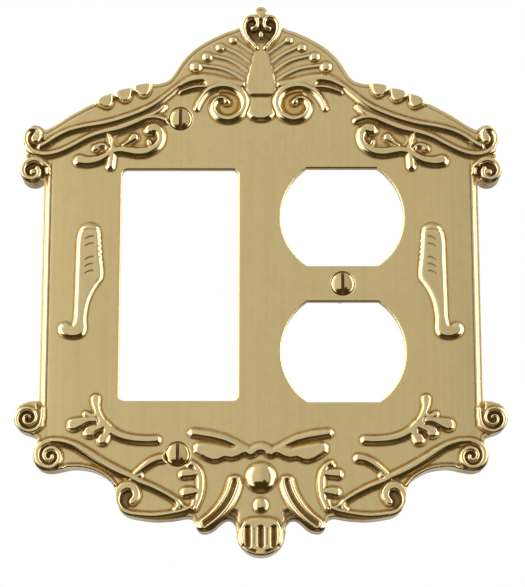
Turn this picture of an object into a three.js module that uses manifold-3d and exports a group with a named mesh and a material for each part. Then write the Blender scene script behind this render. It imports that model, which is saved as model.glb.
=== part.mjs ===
// Two-gang cast brass wall plate cover: one rocker opening, one duplex receptacle pair, three plate screws.
// Millimetres. X runs to the right, Z is up and the ornament faces -Y.
// The origin lies on the back face of the web, midway between the two gangs, at the height of the device centres.
// Each piece is drawn with the wall plane at y = 0 and then set back by the web's depth.
// Ornament is symmetric about x = 0, so only its right half is written out.
import * as THREE from 'three';
import { mergeVertices } from 'three/addons/utils/BufferGeometryUtils.js';
import Module from 'manifold-3d';

// ---------------------------------------------------------------- driving dimensions

const FIELD_FRONT = 7.5;          // smooth field, in front of the wall
const WEB_THICKNESS = 1.9;        // metal behind the field
const EDGE_ROLL = 0.7;            // easing of the outer front edge
const GANG_SPACING = 46.04;       // centre to centre of the two gangs
const ROCKER_WIDTH = 33.3;
const ROCKER_HEIGHT = 66.8;
const ROCKER_CORNER = 1.8;
const ROCKER_SCREW_SPACING = 96.84;
const OUTLET_RADIUS = 17.45;      // receptacle face opening
const OUTLET_HALF_HEIGHT = 14.3;  // its two flats
const OUTLET_OFFSET = 19.45;      // each face from the gang centre
const OPENING_EASE = 0.4;         // eased front edge of every opening

const SCREW_HOLE_RADIUS = 2.1;
const SINK_RADIUS = 3.55;         // countersink mouth on the field
const SINK_SLOPE = Math.tan(41 * Math.PI / 180);
const SCREW_RADIUS = 1.75;        // outside of the 6-32 thread
const SCREW_LENGTH = 19.05;       // from the head's edge to the tip
const HEAD_RADIUS = 3.15;
const HEAD_LAND = 0.1;            // straight edge of the head
const HEAD_OVAL = 0.95;           // rise of the oval crown
const SLOT_WIDTH = 0.9;
const SLOT_DEPTH = 0.9;
const TIP_CHAMFER = 0.5;
const SCREW_SIDES = 24;

const RAIL_EDGE = 61.84;          // outside of the straight side rails
const RAIL_CENTRE = 60.9;
const RELIEF = 1.4;               // usual height of the ornament above the field
const FLANK = 0.7;                // run of a ridge's sloping side
const BALL_RISE = 0.7;            // height of the ball on a stem, in radii
const ROOT = 0.4;                 // straight root of a ridge, buried in the plate
const BED = 0.2;                  // depth of a ridge's foot below the field
const OVERRUN = 2;                // cutters pass this far beyond a surface
const BLOCK = 200;                // side of a block larger than the plate
const CURVE_STEPS = 7;            // points on an opening's quarter turn

const LEFT_GANG = -GANG_SPACING / 2;
const RIGHT_GANG = GANG_SPACING / 2;
const SCREW_Z = ROCKER_SCREW_SPACING / 2;
const WEB_BACK = FIELD_FRONT - WEB_THICKNESS;

const BRASS_LOOK = { color: 0xbfaa78, roughness: 0.3, metalness: 1.0 };
const SCREW_LOOK = { color: 0xc4ae78, roughness: 0.25, metalness: 1.0 };

// ---------------------------------------------------------------- solids

const wasm = await Module();
wasm.setup();

// A closed three.js geometry as a solid, whichever way its faces were wound.
function solid(geometry) {
  geometry.deleteAttribute('normal');
  geometry.deleteAttribute('uv');
  const welded = mergeVertices(geometry, 1e-4);
  const vertProperties = new Float32Array(welded.attributes.position.array);
  const triVerts = new Uint32Array(welded.index.array);
  const body = new wasm.Manifold(new wasm.Mesh({ numProp: 3, vertProperties, triVerts }));
  if (body.volume() > 0) return body;
  return new wasm.Manifold(new wasm.Mesh({ numProp: 3, vertProperties, triVerts: triVerts.reverse() }));
}

function geometryOf(body) {
  const mesh = body.getMesh();
  const geometry = new THREE.BufferGeometry();
  geometry.setAttribute('position', new THREE.BufferAttribute(new Float32Array(mesh.vertProperties), 3));
  geometry.setIndex(new THREE.BufferAttribute(new Uint32Array(mesh.triVerts), 1));
  geometry.computeVertexNormals();
  return geometry;
}

// A front-view shape extruded along the depth; `options` are ExtrudeGeometry's, `back` is its distance
// in front of the wall.
function extruded(shape, back, options) {
  const geometry = new THREE.ExtrudeGeometry(shape, { curveSegments: CURVE_STEPS, ...options });
  geometry.translate(0, 0, back);
  geometry.rotateX(Math.PI / 2);
  return solid(geometry);
}

function prism(shape, back, front) {
  return extruded(shape, back, { depth: front - back, bevelEnabled: false });
}

// A raised body with sloping sides on the field; `shape` is its outline at half height.
function raised(shape, height = RELIEF, flank = FLANK) {
  const rise = height + BED;
  return extruded(shape, FIELD_FRONT + height - rise - ROOT, {
    depth: ROOT, bevelEnabled: true, bevelThickness: rise, bevelSize: flank, bevelOffset: -flank / 2,
    bevelSegments: 1,
  });
}

// A turned button standing on the field.
function dome(x, z, radius, height, sides = 12) {
  const profile = [[0, -BED], [radius, -BED], [radius * 0.92, height * 0.55], [radius * 0.62, height * 0.9],
    [0, height]];
  const geometry = new THREE.LatheGeometry(
    profile.map(([r, h]) => new THREE.Vector2(r, -FIELD_FRONT - h)), sides);
  geometry.translate(x, 0, z);
  return solid(geometry);
}

// ---------------------------------------------------------------- outlines in the front view

function arc(x, z, radius, from, to, steps) {
  return Array.from({ length: steps + 1 }, (_, i) => {
    const angle = THREE.MathUtils.degToRad(from + (to - from) * i / steps);
    return [x + radius * Math.cos(angle), z + radius * Math.sin(angle)];
  });
}

// A scroll's centre line: the radius runs evenly from `outer` to `inner`.
function spiral(x, z, outer, inner, from, to, steps) {
  return Array.from({ length: steps + 1 }, (_, i) => {
    const radius = outer + (inner - outer) * i / steps;
    return arc(x, z, radius, from + (to - from) * i / steps, 0, 1)[0];
  });
}

function smooth(points, steps) {
  const curve = new THREE.SplineCurve(points.map(([x, z]) => new THREE.Vector2(x, z)));
  return curve.getPoints(steps).map(p => [p.x, p.y]);
}

const mirrored = points => points.map(([x, z]) => [-x, z]).reverse();
const shapeOf = points => new THREE.Shape(points.map(([x, z]) => new THREE.Vector2(x, z)));
const symmetric = half => shapeOf([...half, ...mirrored(half)]);

// The outline of a ridge that follows a centre line, with round ends; widths are half widths.
function band(line, startWidth, endWidth = startWidth) {
  const left = [];
  const right = [];
  const last = line.length - 1;
  line.forEach(([x, z], i) => {
    const [xa, za] = line[Math.max(0, i - 1)];
    const [xb, zb] = line[Math.min(last, i + 1)];
    const run = Math.hypot(xb - xa, zb - za);
    const [ux, uz] = [(xb - xa) / run, (zb - za) / run];
    const width = startWidth + (endWidth - startWidth) * i / last;
    left.push([x - uz * width, z + ux * width]);
    right.push([x + uz * width, z - ux * width]);
    if (i === 0) left.unshift([x - (ux + uz) * width * 0.7, z + (ux - uz) * width * 0.7],
      [x - (ux - uz) * width * 0.7, z - (ux + uz) * width * 0.7]);
    if (i === last) left.push([x + (ux - uz) * width * 0.7, z + (ux + uz) * width * 0.7],
      [x + (ux + uz) * width * 0.7, z - (ux - uz) * width * 0.7]);
  });
  const [endA, endB] = [left.shift(), left.shift()];
  return [...left, ...right.reverse(), endB, endA];
}

// ---------------------------------------------------------------- plate outline, back pocket, openings

function plateOutline() {
  return symmetric([
    ...arc(0, 80.6, 1.75, 75, -15, 3),
    ...smooth([[2.4, 79.7], [3.6, 79.3], [4.6, 78.4], [5.4, 77.2], [6.2, 76.1], [7.6, 75.4], [10, 74.5],
      [14, 72.5], [18, 70.2], [21, 67.5], [23.2, 64.7], [25.2, 61.7], [26.9, 60.1], [29.5, 59.4],
      [33.8, 59.2], [37.4, 57.7]], 18),
    [40.2, 57.5], [42.6, 56.1], [45.3, 55.5], [47.9, 53.5], [55, 49.5], [59, 46.7], [61.4, 45.2],
    ...arc(64.8, 43.2, 3.45, 140, -45, 7),
    [66.9, 38.5],
    ...arc(65, 33.1, 3.7, 50, -130, 7),
    [RAIL_EDGE, 29.6], [RAIL_EDGE, -33.2],
    ...smooth([[64.6, -33.6], [67.1, -34.6], [68.5, -36.7], [68.5, -39], [67.6, -40.9], [65.8, -42.1],
      [63.8, -42.7], [61.9, -43.8]], 8),
    ...smooth([[62.3, -45.6], [63, -48.4], [62.6, -50.8], [60.8, -52.5], [58.4, -53], [55.8, -52.5],
      [52, -51.7], [47.5, -52.1], [44.2, -53.5], [41.6, -55.4], [40.1, -57.9], [39.9, -60.6],
      [39.1, -63.2], [37, -65.1], [33.5, -66], [29, -66.4], [24, -66.1], [20.4, -65.5], [18.6, -66]], 20),
    ...smooth([[18, -68.2], [16.8, -69.5], [15, -69.8], [13, -69], [11.2, -67.4], [9.6, -66.3],
      [8, -66.6], [6.9, -68]], 8),
    ...arc(0, -69.6, 6.75, 0, -75, 5),
  ]);
}

// The casting is hollow behind the field; what the pocket leaves is the flat rim that meets the wall.
function pocketOutline() {
  return symmetric([[3, 75], [9, 72], [14, 69.6], [19, 66], [22.5, 61], [25.5, 57.6], [36, 55.2], [44, 52],
    [52, 47.8], [58.5, 43], [59.2, 38], [59.2, -41], [57, -46], [50, -49], [43, -51], [38, -55],
    [36, -61], [30, -63.5], [22, -63.2], [15.5, -65.5], [11, -63.5], [5, -64.5], [3.5, -71]]);
}

function rockerOpening() {
  const [x, z, r] = [ROCKER_WIDTH / 2, ROCKER_HEIGHT / 2, ROCKER_CORNER];
  return shapeOf([
    ...arc(LEFT_GANG + x - r, z - r, r, 90, 0, 3), ...arc(LEFT_GANG + x - r, r - z, r, 0, -90, 3),
    ...arc(LEFT_GANG - x + r, r - z, r, -90, -180, 3), ...arc(LEFT_GANG - x + r, z - r, r, 180, 90, 3),
  ]);
}

// A circle cut by two level flats.
function outletOpening(z) {
  const corner = THREE.MathUtils.radToDeg(Math.asin(OUTLET_HALF_HEIGHT / OUTLET_RADIUS));
  return shapeOf([
    ...arc(RIGHT_GANG, z, OUTLET_RADIUS, corner, -corner, 2 * CURVE_STEPS),
    ...arc(RIGHT_GANG, z, OUTLET_RADIUS, corner - 180, -180 - corner, 2 * CURVE_STEPS),
  ]);
}

// An opening straight through, and its eased front edge.
function openingCutters(shape) {
  return [
    prism(shape, -OVERRUN, FIELD_FRONT + OVERRUN),
    extruded(shape, FIELD_FRONT, {
      depth: OVERRUN, bevelEnabled: true, bevelThickness: OPENING_EASE, bevelSize: OPENING_EASE,
      bevelSegments: 1,
    }),
  ];
}

function screwHole(x, z) {
  const sinkBack = -FIELD_FRONT + (SINK_RADIUS - SCREW_HOLE_RADIUS) / SINK_SLOPE;
  const mouth = SINK_RADIUS + OVERRUN * SINK_SLOPE;
  const profile = [[0, OVERRUN], [SCREW_HOLE_RADIUS, OVERRUN], [SCREW_HOLE_RADIUS, sinkBack],
    [mouth, -FIELD_FRONT - OVERRUN], [0, -FIELD_FRONT - OVERRUN]];
  const geometry = new THREE.LatheGeometry(profile.map(([r, y]) => new THREE.Vector2(r, y)), SCREW_SIDES);
  geometry.translate(x, 0, z);
  return solid(geometry);
}

// ---------------------------------------------------------------- ornament, right half

// Heart of two C-scrolls under the finial, and the four ball-headed stems that fan out below it.
function crest() {
  const heart = smooth([[1.3, 69.7], [2.6, 71], [3.9, 72.6], [4.5, 74.4], [4.5, 76.2], [3.8, 77.7],
    [2.5, 78.3], [1.3, 77.7], [1, 76.5], [1.9, 75.4]], 10);
  const stems = [
    [[2.4, 68.4], [4.5, 70], [6.6, 71.6]], [[3.2, 65.2], [6, 67.4], [10.2, 69.7]],
    [[3.9, 62.7], [8, 65.6], [13.6, 67.3]], [[4.6, 60], [9.5, 63.1], [16.6, 64.5]],
  ];
  const balls = [[7.8, 72, 1.25], [11.5, 70, 1.35], [15.1, 67.2, 1.6], [18.4, 64.2, 1.85]];
  return [
    raised(shapeOf(band(heart, 0.8, 0.55))),
    ...stems.map(line => raised(shapeOf(band(smooth(line, 2), 0.45)), 0.6, 0.4)),
    ...balls.map(([x, z, radius]) => dome(x, z, radius, BALL_RISE * radius, 10)),
  ];
}

// The volute beside the keystone, with its leaf, and the long ridge that leaves it.
function shoulder() {
  const volute = smooth([[17.9, 51.2], [16.8, 54.4], [14.6, 57.3], [11.2, 58.4], [7.6, 57.6], [5, 55.3],
    [4.4, 52], [6, 49.4], [9.2, 48.4], [12.4, 49.4], [13.7, 52], [12.6, 54.3], [10.4, 55], [9, 53.9]], 18);
  const upperRidge = smooth([[11, 59.6], [15, 60.8], [19, 60.5], [23, 58.6], [27, 55.2], [31, 52.3],
    [36, 49.9], [42, 47.9], [49, 46.2], [55, 45], [59, 43.1], [62.4, 40.7]], 12);
  const lowerRidge = smooth([[27.3, 52.2], [29.4, 50.1], [33.5, 48.2], [37.5, 46.5], [42, 45.1],
    [48, 43.4], [54, 40.6], [60, 38.7], [64.4, 38.8]], 10);
  const cornerScroll = spiral(64.8, 42.9, 4.1, 1, -95, 270, 11);
  return [
    raised(shapeOf(band(volute, 0.8, 0.6)), 1.5),
    raised(shapeOf(band(smooth([[13.5, 58.9], [18, 58.6], [23.1, 56.6]], 3), 0.6, 0.4))),
    raised(shapeOf(band(upperRidge, 0.75))),
    raised(shapeOf(band(lowerRidge, 0.85)), 1.3),
    raised(shapeOf(band(cornerScroll, 0.8, 0.7)), 1.3),
    raised(shapeOf(band([[31, 49], [29, 48.5], [27, 47.6]], 0.65)), 1.3),
  ];
}

// Branch below the shoulder ridges.
function shoulderBranch() {
  const curl = smooth([[31.7, 45], [30.2, 46.5], [28.2, 45], [27.7, 42.4], [29.4, 40.1], [33, 39.1],
    [37.5, 39.6], [42, 38.9]], 9);
  const arm = smooth([[43, 38.6], [45.4, 36.9], [48.5, 36], [51.8, 36.8]], 4);
  const stem = smooth([[41.2, 39.5], [42.8, 41.6], [43.2, 43.6], [45.4, 44.4]], 3);
  const hook = smooth([[44.6, 38.4], [44.4, 40.3], [46.2, 40.9], [47.3, 39.9]], 3);
  return [
    raised(shapeOf(band(curl, 0.8, 1.25))),
    raised(shapeOf(band([[42.4, 39.2], [42.7, 34.3]], 1.1))),
    raised(shapeOf(band(arm, 1, 1.3))),
    raised(shapeOf(band(stem, 0.7))),
    raised(shapeOf(band(hook, 0.55)), 1, 0.5),
    raised(shapeOf(band([[36, 42.9], [37.8, 41.3]], 0.75)), 1),
  ];
}

// Three overlapping pads on the sloping top edge.
function edgePads() {
  return [
    [[31.8, 58.3], [32.9, 54.9], [34, 54.7], [37.2, 56.8], [36, 58]],
    [[37.4, 57], [37.6, 53.4], [38.8, 53], [42, 54.8], [41.4, 56.2]],
    [[42.6, 55.4], [42.4, 51.6], [43.6, 51], [47.4, 52.7], [46.2, 54]],
  ].map(points => raised(shapeOf(points), 1.1));
}

// Straight side rail and the scrolls that end it.
function rail() {
  return [
    raised(shapeOf(band([[RAIL_CENTRE, 32], [RAIL_CENTRE, -36]], 0.8)), 1.1, 0.5),
    raised(shapeOf(band(spiral(65, 33.1, 4.1, 0.8, 185, -300, 15), 0.75, 0.6)), 1.3, 0.5),
    raised(shapeOf(band(spiral(64.7, -37.6, 3.8, 0.8, 175, 640, 14), 0.75, 0.6)), 1.3, 0.5),
  ];
}

// Tapering feather on the field beside the openings.
function feather() {
  return [raised(shapeOf([[46.3, 14.9], [47.4, 16.4], [49, 16.6], [50.8, 15.4], [51.7, 13], [52, 5],
    [52.4, -7], [52.8, -11.6], [55, -11.8], [56.4, -13.2], [55.6, -14.8], [53, -15.3], [50.5, -14.8],
    [49.8, -12.5], [49.9, -8], [48.3, -2.8], [45.5, 0.8], [45.9, 8]]), 1.2)];
}

// Lobed branch above the lower scrolls.
function lowerBranch() {
  const stem = smooth([[45.8, -32.6], [45.7, -35.2], [44, -38.4], [40.8, -41.7], [36.8, -43.5],
    [32, -44.2], [28.4, -44.2]], 8);
  return [
    raised(shapeOf(band(stem, 1, 0.95)), 1.3),
    raised(shapeOf(band([[45.8, -37.6], [48.1, -37.2]], 0.8)), 1.1),
    raised(shapeOf(band([[47.2, -38.8], [49.4, -39.4], [51.9, -40]], 1, 1.5))),
    raised(shapeOf(band([[44.6, -39.8], [46.2, -41.3], [46.9, -42.6]], 1, 1.6))),
    raised(shapeOf(band([[42, -41.6], [43, -44]], 1, 1.4))),
  ];
}

// The large lower scroll, the loop and small volute below it, and the rim between them.
function lowerScrolls() {
  const sweep = smooth([[35.6, -54.4], [40, -52.3], [44, -50.1], [48, -47.6], [52.4, -45.3], [58, -44.2]], 6);
  const loopUpper = smooth([[35.6, -54.8], [31, -56.8], [27, -58.7], [23.6, -60.8], [22.6, -62.6]], 5);
  const loopLower = smooth([[19.6, -63], [22.4, -63.8], [26, -64.5], [31, -64.9], [35.6, -64.6]], 5);
  const hook = smooth([[22.6, -61.6], [20.5, -63.3], [18.3, -61.2]], 4);
  const edgeRim = smooth([[40.6, -56.6], [42.6, -54.3], [46, -52.3], [50, -51.2], [53.8, -51.3]], 5);
  return [
    raised(shapeOf(band(sweep, 1.2, 0.9))),
    raised(shapeOf(band(spiral(58, -48.9, 4.7, 0.9, 95, -380, 15), 0.85, 0.7)), 1.4, 0.5),
    raised(shapeOf(band(loopUpper, 0.9, 0.75)), 1.3),
    raised(shapeOf(band(loopLower, 0.8)), 1.3),
    raised(shapeOf(band(spiral(35.6, -60, 4.6, 0.8, -90, 380, 14), 0.8, 0.65)), 1.3, 0.5),
    raised(shapeOf(band(hook, 0.6)), 1.1, 0.5),
    raised(shapeOf(band(edgeRim, 0.5)), 0.9, 0.4),
    raised(shapeOf(band(smooth([[27, -49.1], [30.4, -50.4], [34.8, -53.6]], 3), 1, 0.8)), 1.3),
  ];
}

// Toothed crescent and the slotted loop on each side of the bottom shell.
function bottomLoops() {
  const crescent = smooth([[19.4, -50.6], [17, -53.6], [16.4, -58], [18, -63.6]], 5);
  const loopLine = smooth([[7.1, -56], [9, -60.7], [12.2, -65], [15.7, -67.8]], 4);
  const slot = prism(shapeOf(band(loopLine, 0.85, 0.75)), FIELD_FRONT, FIELD_FRONT + RELIEF + OVERRUN);
  return [
    raised(shapeOf(band(crescent, 0.9)), 1.3),
    raised(shapeOf(band([[17.5, -53.5], [21.7, -53.6]], 1.1)), 1.3),
    raised(shapeOf(band([[17.3, -58.5], [21.1, -58.7]], 1.1)), 1.3),
    raised(shapeOf(band(loopLine, 2.05, 1.85)), 1.3, 0.5).subtract(slot),
  ];
}

// ---------------------------------------------------------------- ornament on the centre line

// Obelisk panel over the keystone.
function centrePanel() {
  return [
    raised(symmetric([[0.9, 70.6], [1.5, 67.2], [3.5, 58.8], [4, 55.4]]), 1.3, 0.8),
    raised(symmetric([[2.9, 56], [3.2, 51.4], [2.2, 49.1], [0.8, 48.3]]), 1.1, 0.8),
  ];
}

// Spread wing across the lower field.
function wing() {
  return raised(symmetric([[1, -45.4], [3.1, -46.6], [7.5, -44.1], [13, -42.1], [19.2, -41.5],
    [19.6, -43], [13, -43.8], [8.6, -45.5], [8.8, -46.9], [13, -45.8], [17.6, -45.5], [18.6, -47.3],
    [15.6, -49.8], [13.2, -50.8], [10, -49.8], [7.6, -49.9], [4.4, -48.6], [2.8, -49.3], [0.8, -48]]), 1.4);
}

function buttons() {
  const drop = raised(shapeOf(band([[0, 74], [0, 73]], 0.65, 0.8)), 1, 0.5);
  return [dome(0, 80.5, 1.5, 0.9, 10), dome(0, -54.6, 4, 2.1, 16), dome(0, -62.5, 2, 1.1, 12), drop];
}

// Fluted shell that closes the bottom.
function shell() {
  const body = raised(symmetric([[2.4, -66], [4.6, -66.7], [5.9, -68.4], [6.2, -70.4], [5.7, -72.7],
    [4.4, -74.5], [2, -75.7]]), 1.4);
  const flutes = [-3.4, 0, 3.4].map(x => prism(
    shapeOf(band([[x, -69.1], [x, -73.2]], 0.75)), FIELD_FRONT + 0.5, FIELD_FRONT + RELIEF + OVERRUN));
  return flutes.reduce((left, flute) => left.subtract(flute), body);
}

// ---------------------------------------------------------------- plate

function plate() {
  const oneSide = [crest, shoulder, shoulderBranch, edgePads, rail, feather, lowerBranch, lowerScrolls,
    bottomLoops].flatMap(part => part());
  const relief = [...oneSide, ...oneSide.map(body => body.mirror([1, 0, 0])), ...centrePanel(), wing(),
    ...buttons(), shell()];
  const slab = extruded(plateOutline(), -OVERRUN, {
    depth: FIELD_FRONT + OVERRUN - EDGE_ROLL, bevelEnabled: true, bevelThickness: EDGE_ROLL,
    bevelSize: EDGE_ROLL, bevelOffset: -EDGE_ROLL, bevelSegments: 1,
  });
  const wallSide = new THREE.BoxGeometry(BLOCK, BLOCK, BLOCK).translate(0, BLOCK / 2, 0);
  const cutters = [
    solid(wallSide),
    prism(pocketOutline(), -OVERRUN, WEB_BACK),
    ...openingCutters(rockerOpening()),
    ...openingCutters(outletOpening(OUTLET_OFFSET)),
    ...openingCutters(outletOpening(-OUTLET_OFFSET)),
    screwHole(LEFT_GANG, SCREW_Z), screwHole(LEFT_GANG, -SCREW_Z), screwHole(RIGHT_GANG, 0),
  ];
  return cutters.reduce((left, cutter) => left.subtract(cutter),
    relief.reduce((sum, body) => sum.add(body), slab));
}

// ---------------------------------------------------------------- screws

// Oval head screw on the Y axis; y = 0 is the field plane and the head faces -Y.
function screw() {
  const crown = arc(0, 0, 1, 90, 0, 5).map(([u, v]) => [HEAD_RADIUS * u, -HEAD_LAND - HEAD_OVAL * v]);
  const neck = (HEAD_RADIUS - SCREW_RADIUS) / SINK_SLOPE;
  const profile = [...crown, [HEAD_RADIUS, 0], [SCREW_RADIUS, neck], [SCREW_RADIUS, SCREW_LENGTH - TIP_CHAMFER],
    [SCREW_RADIUS - TIP_CHAMFER, SCREW_LENGTH], [0, SCREW_LENGTH]];
  profile[0][0] = 0;
  const turned = solid(new THREE.LatheGeometry(profile.map(([r, y]) => new THREE.Vector2(r, y)), SCREW_SIDES));
  const slot = new THREE.BoxGeometry(SLOT_WIDTH, 2 * SLOT_DEPTH, 3 * HEAD_RADIUS)
    .translate(0, -HEAD_LAND - HEAD_OVAL, 0);
  return turned.subtract(solid(slot));
}

// ---------------------------------------------------------------- assembly

function piece(name, body, look, [x, y, z]) {
  const mesh = new THREE.Mesh(geometryOf(body), new THREE.MeshStandardMaterial(look));
  mesh.name = name;
  mesh.position.set(x, y + WEB_BACK, z);
  return mesh;
}

const cover = new THREE.Group();
cover.name = 'wall_plate_cover';
cover.add(
  piece('wall_plate', plate(), BRASS_LOOK, [0, 0, 0]),
  piece('rocker_screw_upper', screw(), SCREW_LOOK, [LEFT_GANG, -FIELD_FRONT, SCREW_Z]),
  piece('rocker_screw_lower', screw(), SCREW_LOOK, [LEFT_GANG, -FIELD_FRONT, -SCREW_Z]),
  piece('receptacle_screw', screw(), SCREW_LOOK, [RIGHT_GANG, -FIELD_FRONT, 0]),
);

export default cover;
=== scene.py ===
"""Visual model of the ornate brass wall plate cover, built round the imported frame.

The plate is a relief. Each ridge, pad and button is written in millimetres in the front view, x to the right
and z up, and raises the field towards -Y. The ornament is symmetric about x = 0, so one half is written.
"""
import math

import bmesh
import bpy
import numpy as np
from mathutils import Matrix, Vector, geometry


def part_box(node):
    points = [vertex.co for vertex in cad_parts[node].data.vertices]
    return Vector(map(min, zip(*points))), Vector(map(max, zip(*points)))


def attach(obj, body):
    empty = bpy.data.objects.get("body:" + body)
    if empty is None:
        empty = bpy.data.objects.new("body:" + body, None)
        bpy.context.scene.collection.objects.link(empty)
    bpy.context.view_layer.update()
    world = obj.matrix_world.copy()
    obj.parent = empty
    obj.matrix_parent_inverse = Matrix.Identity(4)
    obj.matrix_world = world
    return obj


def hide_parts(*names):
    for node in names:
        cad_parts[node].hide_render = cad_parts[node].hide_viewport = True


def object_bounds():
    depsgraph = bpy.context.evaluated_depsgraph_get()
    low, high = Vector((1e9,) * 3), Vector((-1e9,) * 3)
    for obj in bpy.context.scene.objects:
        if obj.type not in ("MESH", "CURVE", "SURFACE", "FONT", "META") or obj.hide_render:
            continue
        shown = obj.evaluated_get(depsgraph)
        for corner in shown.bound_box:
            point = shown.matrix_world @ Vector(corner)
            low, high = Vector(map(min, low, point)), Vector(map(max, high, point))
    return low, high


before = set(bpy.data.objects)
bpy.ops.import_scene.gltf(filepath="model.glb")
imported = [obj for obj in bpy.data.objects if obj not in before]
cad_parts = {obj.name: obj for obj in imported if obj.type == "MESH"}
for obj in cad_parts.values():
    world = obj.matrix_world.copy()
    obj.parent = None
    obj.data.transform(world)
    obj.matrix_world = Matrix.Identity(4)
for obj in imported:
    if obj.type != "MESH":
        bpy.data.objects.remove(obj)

CAD_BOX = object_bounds()
WALL_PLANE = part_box("wall_plate")[1].y * 1000      # y of the wall, mm

# ---- dimensions, mm

MM = 0.001
FIELD_FRONT = 7.5      # depths are measured forward from the wall plane
WEB_BACK = 5.6
GANG = 23.02
ROCKER_HALF = (16.65, 33.4)
ROCKER_CORNER = 1.8
OUTLET_RADIUS = 17.45
OUTLET_FLAT = 14.3
OUTLET_Z = 19.45
SCREW_Z = 48.42
HOLE_RADIUS = 2.1
SINK_RADIUS = 3.55
SINK_SLOPE = math.tan(math.radians(41))
RAIL_EDGE = 61.84
RAIL_TOP = 34.0
RAIL_BOTTOM = -38.5
RAIL_BREAK = 60.2      # the side rail falls away to the edge from here
RAIL_FOOT = 61.3       # and is level again outside here
RAIL_FALL = 0.85
RAIL_START = -36.2     # the fall begins here and is full this much higher up
RAIL_EASE = 1.5
RAIL_LINE = 59.7       # line scribed beside the rail
EASE = 0.4             # eased edge of the openings
EDGE_ROLL = 0.28       # rolled outer edge
EDGE_DROP = 0.22
BORDER = 1.05          # fine line scribed this far inside the outer edge
BORDER_WIDTH = 0.17
BORDER_DEPTH = 0.22
DEEPEST = 1.0          # no hollow in the front goes below the field by more
DISH = 0.45            # fall of the field towards its sides
DISH_START = 50.0
DISH_RUN = 9.5
RELIEF = 1.0           # usual height of a ridge
SPREAD = 1.2           # run of a flank for each mm it rises
STEEPER = 0.45         # share by which the run of a ridge's upper flank is shorter
FACET_SLOPE = 0.6      # fall of the edge pads' outer facets
FACET_LOWEST = 0.12    # and the height they stop at
LEAN = 0.06            # a ridge's top faces up by this slope, so its lower side is the higher one

CELL = 0.25            # pitch of the relief's grid
HALF_WIDTH = 280       # cells each side of x = 0
Z_LOW = -77.5
Z_CELLS = 642

xs = np.arange(-HALF_WIDTH, HALF_WIDTH + 1) * CELL
zs = Z_LOW + np.arange(Z_CELLS + 1) * CELL
X, Z = np.meshgrid(xs, zs)
FAR = 99.0


# ---- curves in the front view

def scroll(x, z, outer, inner, start, end, steps=24):
    """Centre line of a scroll whose radius runs evenly from outer to inner."""
    angles = np.radians(np.linspace(start, end, steps + 1))
    radii = np.linspace(outer, inner, steps + 1)
    return [(x + r * math.cos(a), z + r * math.sin(a)) for r, a in zip(radii, angles)]


def arc(x, z, radius, start, end, steps):
    return scroll(x, z, radius, radius, start, end, steps)


def spline(points, widths=(1,), pace=0.5):
    """Catmull-Rom curve through the points, with the widths spread evenly over its length."""
    p = np.array(points, float)
    p = np.vstack([2 * p[0] - p[1], p, 2 * p[-1] - p[-2]])
    out = []
    for a, b, c, d in zip(p[:-3], p[1:-2], p[2:-1], p[3:]):
        steps = max(2, int(np.hypot(*(c - b)) / pace))
        t = np.linspace(0, 1, steps, endpoint=False)[:, None]
        out.append(0.5 * (2 * b + (c - a) * t + (2 * a - 5 * b + 4 * c - d) * t ** 2
                          + (3 * b - a - 3 * c + d) * t ** 3))
    line = np.vstack(out + [p[-2:-1]])
    along = np.concatenate([[0], np.cumsum(np.hypot(*np.diff(line, axis=0).T))])
    marks = np.linspace(0, along[-1], len(widths))
    return line, np.interp(along, marks, widths)


def curve(points):
    return list(map(tuple, spline(points)[0]))


def both_sides(half):
    """Half an outline and its mirror image. Points on the centre line are kept once."""
    return half + [(-x, z) for x, z in half[::-1] if abs(x) > 1e-6]


def window(points, margin):
    """Index of the grid points within margin of the points given, and their x and z."""
    lo, hi = points.min(0) - margin, points.max(0) + margin
    place = (slice(*np.searchsorted(zs, (lo[1], hi[1]))), slice(*np.searchsorted(xs, (lo[0], hi[0]))))
    return place, X[place], Z[place]


def to_segments(px, pz, line):
    """Distance from each point to each segment of a line, and how far along the segment it is."""
    a, b = line[:-1], line[1:]
    ab = b - a
    dx, dz = px[..., None] - a[:, 0], pz[..., None] - a[:, 1]
    t = np.clip((dx * ab[:, 0] + dz * ab[:, 1]) / np.maximum((ab ** 2).sum(1), 1e-9), 0, 1)
    return np.hypot(dx - t * ab[:, 0], dz - t * ab[:, 1]), t


def within(px, pz, loop):
    """Which points lie inside a closed outline."""
    inside = np.zeros(px.shape, bool)
    for (xa, za), (xb, zb) in zip(loop, np.roll(loop, -1, 0)):
        if za != zb:
            inside ^= ((za > pz) != (zb > pz)) & (px < (xb - xa) * (pz - za) / (zb - za) + xa)
    return inside


def outside_loop(px, pz, loop):
    """Distance outside a closed outline, negative within it."""
    d = to_segments(px, pz, np.vstack([loop, loop[:1]]))[0].min(-1)
    return np.where(within(px, pz, loop), -d, d)


# ---- relief

raised = np.full(X.shape, -FAR)      # highest ridge at each grid point, above the field
sunk = np.zeros(X.shape)             # depth of recessed floors
cut = np.zeros(X.shape)              # depth of grooves cut into the ridges
floor_shade = np.zeros(X.shape)             # painted shade: gold tint of the recessed floors
stain = np.zeros(X.shape)            # dark patina in gaps and slots


def flank(outside, run, height):
    """Profile across a ridge: a crease at the foot, a straight flank and a rounded shoulder."""
    t = 0.5 - outside / run
    return height * np.where(t < 0, 3.0 * t, 1 - np.clip(1 - t, 0, 1) ** 1.3)


def filled(outside, run):
    """1 inside an edge and 0 outside it, eased over the run."""
    t = np.clip(0.5 - outside / run, 0, 1)
    return t * t * (3 - 2 * t)


def keep_highest(grid, place, value):
    grid[place] = np.maximum(grid[place], value)


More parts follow.
